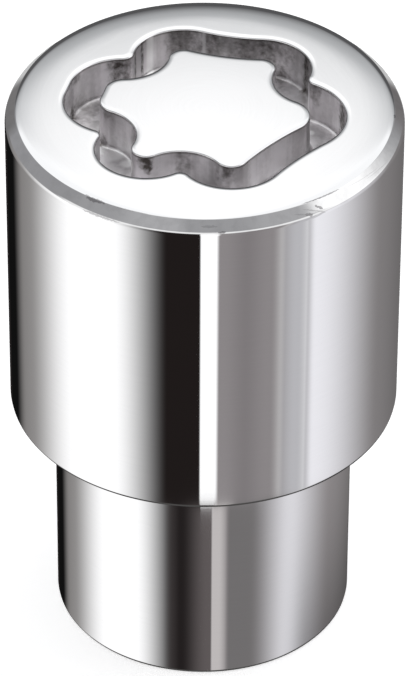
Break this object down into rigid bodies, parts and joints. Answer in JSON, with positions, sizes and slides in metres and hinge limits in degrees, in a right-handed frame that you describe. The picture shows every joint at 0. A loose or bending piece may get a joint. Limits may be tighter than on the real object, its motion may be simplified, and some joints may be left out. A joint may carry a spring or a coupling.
{
  "type": "locking wheel nut",
  "caption": "Chromed locking wheel nut with a plain round head, a closed wavy key groove in its end face, a straight shank and a blind threaded hole.",
  "frame": {"origin": "centre of the open end face of the shank, on which the nut stands", "axes": "+Z along the nut's axis from the open end towards the keyed end face; the picture looks along +Y"},
  "size_m": [0.023, 0.023, 0.0352],
  "materials": {
    "chrome_plate": "bright chrome plate over turned steel, polished outside, satin in the key groove and dull in the bore"
  },
  "bodies": {
    "root": {"nut_body": "chrome_plate"}
  },
  "joints": []
}
